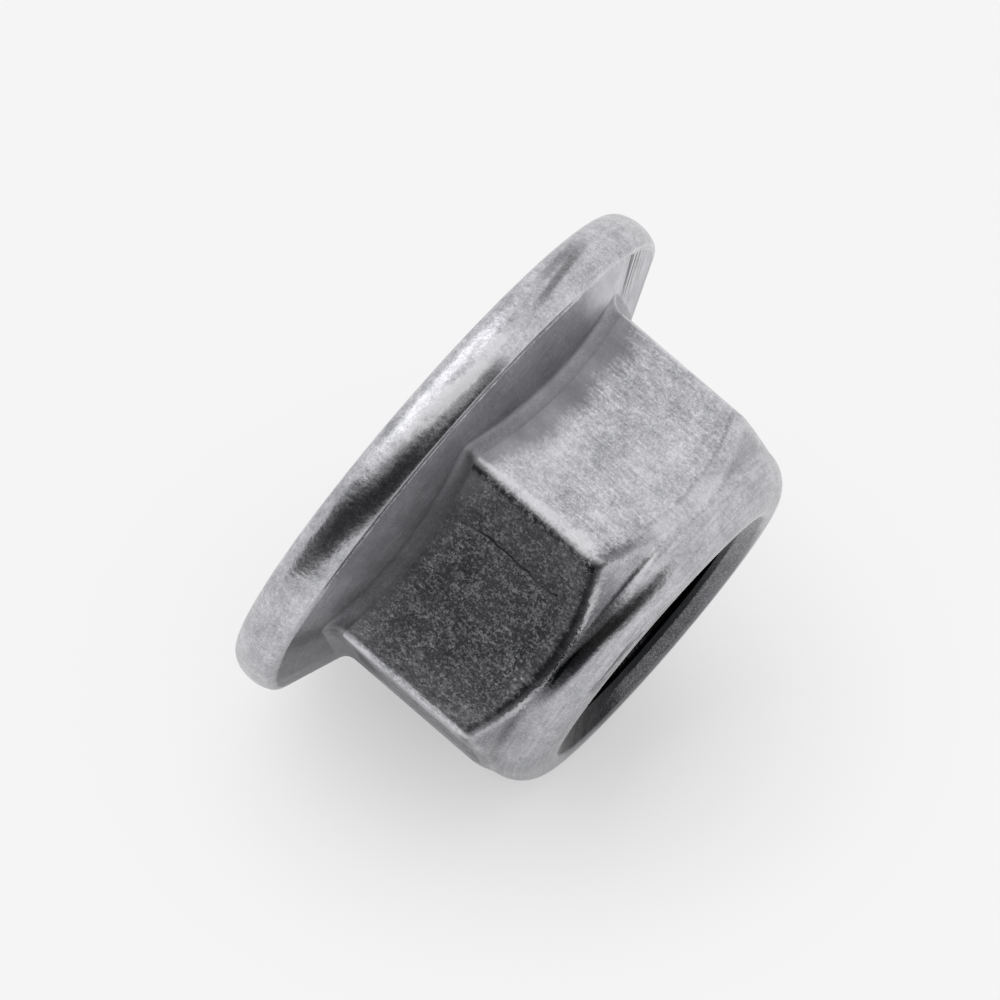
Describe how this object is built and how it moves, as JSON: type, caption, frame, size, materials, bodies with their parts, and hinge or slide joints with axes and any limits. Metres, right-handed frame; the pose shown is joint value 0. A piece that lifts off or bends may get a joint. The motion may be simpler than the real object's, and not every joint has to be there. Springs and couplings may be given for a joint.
{
  "type": "serrated hexagon flange nut",
  "caption": "Hexagon nut with a wide conical flange and a serrated bearing face that clamps a joint without a washer and resists loosening.",
  "frame": {"origin": "centre of the bearing face, on the thread's axis; the nut stands on its flange", "axes": "+Z along the thread's axis, from the bearing face to the crown; +X through a corner of the hexagon"},
  "size_m": [0.0198, 0.0198, 0.0104],
  "materials": {
    "steel": "plain cold-formed steel with a thin grey phosphate film, burnished on the rim and crown"
  },
  "bodies": {
    "root": {"flange_nut": "steel"}
  },
  "joints": []
}
